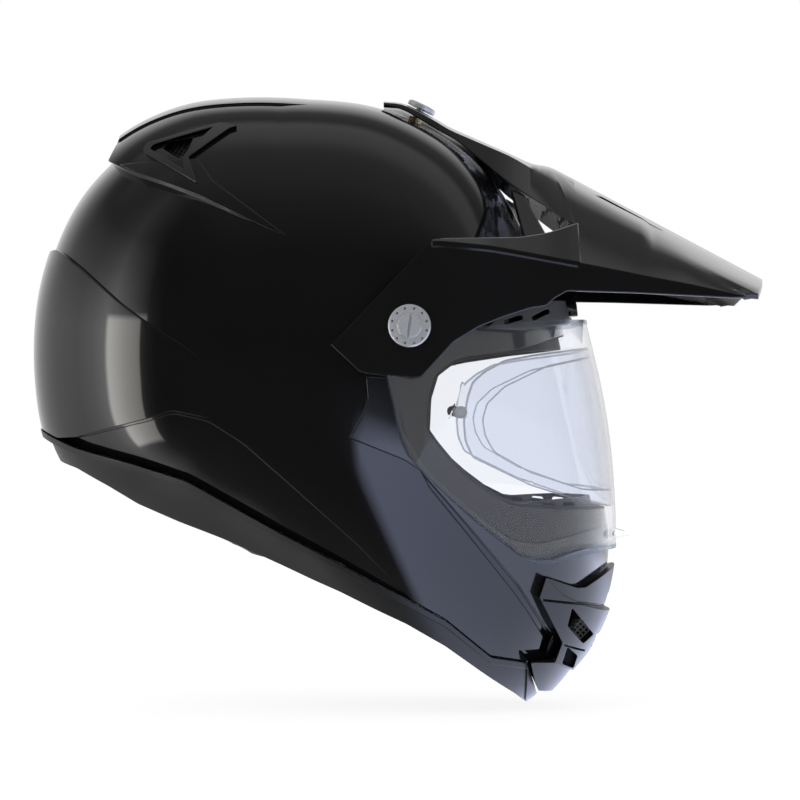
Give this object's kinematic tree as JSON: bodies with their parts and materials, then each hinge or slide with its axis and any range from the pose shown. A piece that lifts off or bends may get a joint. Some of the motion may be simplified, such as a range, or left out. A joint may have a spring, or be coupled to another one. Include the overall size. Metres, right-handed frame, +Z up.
{
  "type": "enduro helmet",
  "caption": "Full face enduro helmet with a peak on screws, a pivoting clear shield with an inner lens, chin vents, foam liners, pads and a ring strap.",
  "frame": {"origin": "centre of the head space, in the middle plane", "axes": "+X forward as the wearer looks, +Y to the wearer's left, +Z up, in the attitude of wear"},
  "size_m": [0.4251, 0.2732, 0.3541],
  "materials": {
    "gloss_shell": "high gloss lacquer over a composite shell",
    "gloss_peak": "gloss",
    "chin_gloss": "gloss",
    "satin_trim": "satin",
    "satin_vent": "satin",
    "brow_silver": "satin grey",
    "soft_rubber": "matt",
    "liner_foam": "matt bead foam",
    "pad_cloth": "knitted",
    "roll_cloth": "woven",
    "clear_shield": "clear polycarbonate",
    "clear_insert": "clear, faintly tinted",
    "hub_plastic": "satin",
    "pin_plastic": "satin",
    "insert_brass": "turned",
    "screw_alloy": "turned, satin",
    "strap_web": "woven webbing",
    "ring_steel": "plated",
    "rivet_steel": "blackened"
  },
  "bodies": {
    "shell": {"outer_shell": "gloss_shell", "lower_trim": "satin_trim", "eye_port_gasket": "soft_rubber", "crown_liner": "liner_foam", "chin_liner": "liner_foam", "crown_pad": "pad_cloth", "cheek_pad_right": "pad_cloth", "cheek_pad_left": "pad_cloth", "neck_roll": "roll_cloth", "breath_deflector": "soft_rubber", "chin_cover": "chin_gloss", "mouth_vent_frame": "satin_vent", "mouth_vent_grille": "satin_vent", "brow_vent": "brow_silver", "brow_cap": "gloss_shell", "pivot_plate_right": "satin_trim", "pivot_plate_left": "satin_trim", "shell_nut_right": "insert_brass", "shell_nut_left": "insert_brass", "peak_bush_right": "satin_trim", "peak_bush_left": "satin_trim", "top_nut": "insert_brass", "rear_vent_right": "satin_vent", "rear_vent_left": "satin_vent", "chin_strap_right": "strap_web", "chin_strap_left": "strap_web", "strap_rivets": "rivet_steel"},
    "shield": {"face_shield": "clear_shield", "shield_hub_right": "hub_plastic", "shield_hub_left": "hub_plastic", "antifog_insert": "clear_insert"},
    "peak": {"peak": "gloss_peak"},
    "shutter": {"mouth_vent_shutter": "satin_trim"},
    "side_screw_right": {"side_screw_right": "screw_alloy"},
    "side_screw_left": {"side_screw_left": "screw_alloy"},
    "top_screw": {"top_screw": "screw_alloy"},
    "insert_pin_right": {"insert_pin_right": "pin_plastic"},
    "insert_pin_left": {"insert_pin_left": "pin_plastic"},
    "rings": {"d_rings": "ring_steel"}
  },
  "joints": [
    {"name": "shield_turn", "type": "hinge", "parent": "shell", "child": "shield", "pos_m": [0.0637, 0, 0.0116], "axis": [0, -1, 0], "range_deg": [0, 40]},
    {"name": "peak_tilt", "type": "hinge", "parent": "shell", "child": "peak", "pos_m": [0.0637, 0, 0.0116], "axis": [0, -1, 0], "range_deg": [-1.5, 1.5]},
    {"name": "vent_shutter_slide", "type": "slide", "parent": "shell", "child": "shutter", "axis": [0, 0, 1], "range_m": [0, 0.006]},
    {"name": "side_screw_right_turn", "type": "hinge", "parent": "shell", "child": "side_screw_right", "pos_m": [0.0637, 0, 0.0116], "axis": [0, -1, 0], "continuous": true},
    {"name": "side_screw_left_turn", "type": "hinge", "parent": "shell", "child": "side_screw_left", "pos_m": [0.0637, 0, 0.0116], "axis": [0, 1, 0], "continuous": true},
    {"name": "top_screw_turn", "type": "hinge", "parent": "shell", "child": "top_screw", "pos_m": [0.07, 0, 0.1394], "axis": [0.4384, 0, 0.8988], "continuous": true},
    {"name": "insert_pin_right_turn", "type": "hinge", "parent": "shield", "child": "insert_pin_right", "pos_m": [0.0915, -0.1274, -0.036], "axis": [0.1736, -0.9848, 0], "range_deg": [-90, 90]},
    {"name": "insert_pin_left_turn", "type": "hinge", "parent": "shield", "child": "insert_pin_left", "pos_m": [0.0915, 0.1274, -0.036], "axis": [0.1736, 0.9848, 0], "range_deg": [-90, 90]},
    {"name": "ring_swing", "type": "hinge", "parent": "shell", "child": "rings", "pos_m": [0.028, 0.03, -0.1198], "axis": [1, 0, 0], "range_deg": [-20, 20]}
  ]
}
